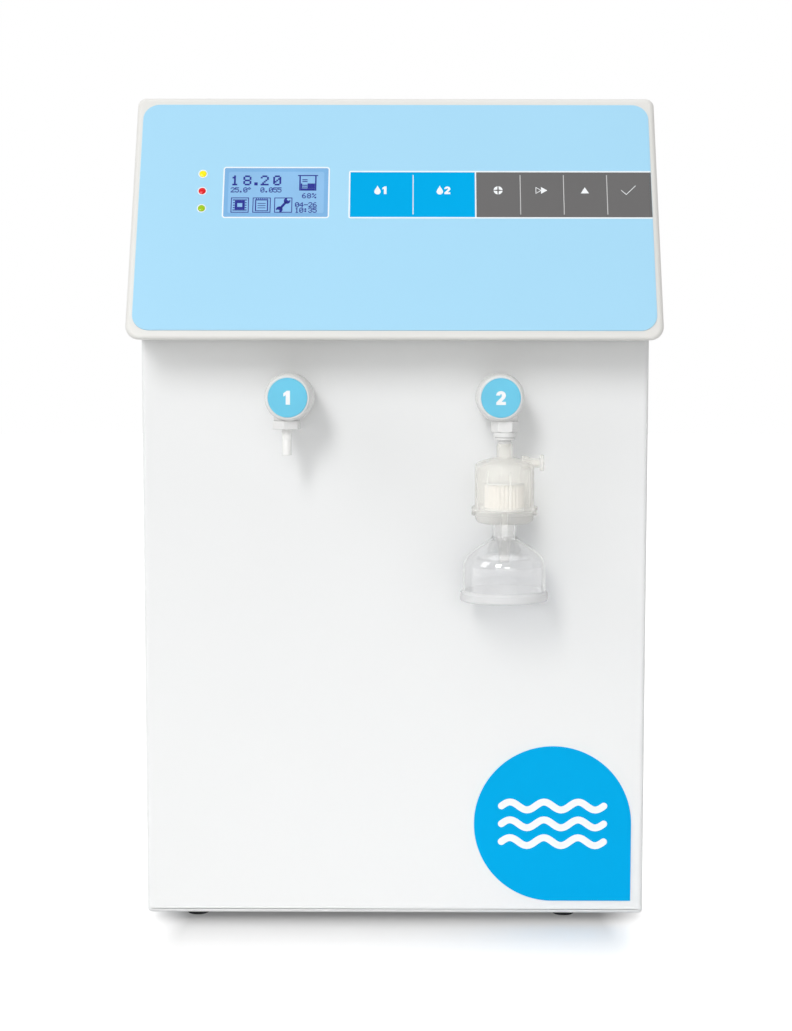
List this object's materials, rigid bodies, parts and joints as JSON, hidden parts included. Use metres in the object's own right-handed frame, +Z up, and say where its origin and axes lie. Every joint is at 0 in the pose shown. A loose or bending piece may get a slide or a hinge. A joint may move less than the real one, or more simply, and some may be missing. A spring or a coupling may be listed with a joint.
{
  "type": "ultrapure water system",
  "caption": "Bench-top ultrapure water system: white steel cabinet, sloped keypad head, dispensing taps, capsule filter with clear bell.",
  "frame": {"origin": "on the floor plane under the middle of the whole object's box", "axes": "+Z up, front with the taps and keypad faces -Y, +X to the right of someone facing the front"},
  "size_m": [0.38, 0.51, 0.612],
  "materials": {
    "painted_steel": "smooth white powder coat",
    "zinc_steel": "plain zinc plated sheet",
    "head_plastic": "fine moulded satin, warm off-white",
    "overlay_film": "printed pale blue film, satin",
    "dispense_key": "printed bright blue film, satin",
    "menu_key": "printed grey film, satin",
    "display_glass": "clear window over a blue backlit display",
    "display_module": "dark blue display body",
    "lamp_yellow": "clear coloured lens",
    "lamp_red": "clear coloured lens",
    "lamp_green": "clear coloured lens",
    "circuit_board": "green solder mask",
    "white_plastic": "moulded white, soft gloss",
    "tap_disc": "printed light blue label, satin",
    "tube_plastic": "smooth white tube",
    "filter_plastic": "milky translucent moulding",
    "filter_media": "pleated cream filter sheet",
    "clear_plastic": "clear moulded plastic, glossy",
    "badge_blue": "printed blue label",
    "rubber": "dull black rubber",
    "black_plastic": "black moulded plastic",
    "canister_blue": "blue moulded canister",
    "steel_shaft": "ground steel"
  },
  "bodies": {
    "cabinet": {"base_tray": "zinc_steel", "booster_motor": "zinc_steel", "carbon_filter": "canister_blue", "chassis_plate": "zinc_steel", "clip_rail": "white_plastic", "control_board": "circuit_board", "display_module": "display_module", "display_window": "display_glass", "drain_port": "white_plastic", "feed_port": "white_plastic", "filter_base": "filter_plastic", "filter_core": "filter_media", "filter_shell": "filter_plastic", "foot_front_left": "rubber", "foot_front_right": "rubber", "foot_rear_left": "rubber", "foot_rear_right": "rubber", "front_badge": "badge_blue", "front_panel": "painted_steel", "head_shell": "head_plastic", "inlet_valve": "white_plastic", "keypad_board": "circuit_board", "lamp_green": "lamp_green", "lamp_red": "lamp_red", "lamp_yellow": "lamp_yellow", "left_side_panel": "painted_steel", "membrane_overlay": "overlay_film", "polishing_column_1": "white_plastic", "polishing_column_2": "white_plastic", "power_inlet": "black_plastic", "power_supply": "zinc_steel", "pump_head": "black_plastic", "rear_panel": "painted_steel", "right_side_panel": "painted_steel", "ro_membrane_housing": "white_plastic", "sediment_filter": "canister_blue", "tank_port": "white_plastic", "tap_1_disc": "tap_disc", "tap_1_housing": "white_plastic", "tap_1_nut": "white_plastic", "tap_1_panel_nut": "white_plastic", "tap_1_spout": "tube_plastic", "tap_1_tube": "tube_plastic", "tap_2_adapter": "white_plastic", "tap_2_disc": "tap_disc", "tap_2_housing": "white_plastic", "tap_2_nut": "white_plastic", "tap_2_panel_nut": "white_plastic", "tap_2_tube": "tube_plastic", "top_cover": "painted_steel"},
    "dispensing_bell_body": {"dispensing_bell": "clear_plastic"},
    "key_confirm_body": {"key_confirm": "menu_key"},
    "key_dispense_1_body": {"key_dispense_1": "dispense_key"},
    "key_dispense_2_body": {"key_dispense_2": "dispense_key"},
    "key_increase_body": {"key_increase": "menu_key"},
    "key_menu_body": {"key_menu": "menu_key"},
    "key_next_body": {"key_next": "menu_key"},
    "power_rocker_body": {"power_rocker": "black_plastic"},
    "pump_shaft_body": {"pump_shaft": "steel_shaft"},
    "vent_valve_body": {"vent_valve": "filter_plastic"}
  },
  "joints": [
    {"name": "key_dispense_1_press", "type": "slide", "parent": "cabinet", "child": "key_dispense_1_body", "axis": [0, 0.9136, -0.4065], "range_m": [0, 0.0004], "stiffness_N_per_m": 400, "springref_m": -0.0002},
    {"name": "key_dispense_2_press", "type": "slide", "parent": "cabinet", "child": "key_dispense_2_body", "axis": [0, 0.9136, -0.4065], "range_m": [0, 0.0004], "stiffness_N_per_m": 400, "springref_m": -0.0002},
    {"name": "key_menu_press", "type": "slide", "parent": "cabinet", "child": "key_menu_body", "axis": [0, 0.9136, -0.4065], "range_m": [0, 0.0004], "stiffness_N_per_m": 400, "springref_m": -0.0002},
    {"name": "key_next_press", "type": "slide", "parent": "cabinet", "child": "key_next_body", "axis": [0, 0.9136, -0.4065], "range_m": [0, 0.0004], "stiffness_N_per_m": 400, "springref_m": -0.0002},
    {"name": "key_increase_press", "type": "slide", "parent": "cabinet", "child": "key_increase_body", "axis": [0, 0.9136, -0.4065], "range_m": [0, 0.0004], "stiffness_N_per_m": 400, "springref_m": -0.0002},
    {"name": "key_confirm_press", "type": "slide", "parent": "cabinet", "child": "key_confirm_body", "axis": [0, 0.9136, -0.4065], "range_m": [0, 0.0004], "stiffness_N_per_m": 400, "springref_m": -0.0002},
    {"name": "power_rocker_tilt", "type": "hinge", "parent": "cabinet", "child": "power_rocker_body", "pos_m": [0.13, 0.2393, 0.1075], "axis": [1, 0, 0], "range_deg": [0, 20]},
    {"name": "vent_valve_turn", "type": "hinge", "parent": "cabinet", "child": "vent_valve_body", "pos_m": [0.0785, -0.2235, 0.3472], "axis": [1, 0, 0], "range_deg": [0, 90]},
    {"name": "bell_pull_off", "type": "slide", "parent": "cabinet", "child": "dispensing_bell_body", "axis": [0, 0, -1], "range_m": [0, 0.03]},
    {"name": "pump_shaft_spin", "type": "hinge", "parent": "cabinet", "child": "pump_shaft_body", "pos_m": [-0.12, 0.1425, 0.0495], "axis": [1, 0, 0], "continuous": true}
  ]
}
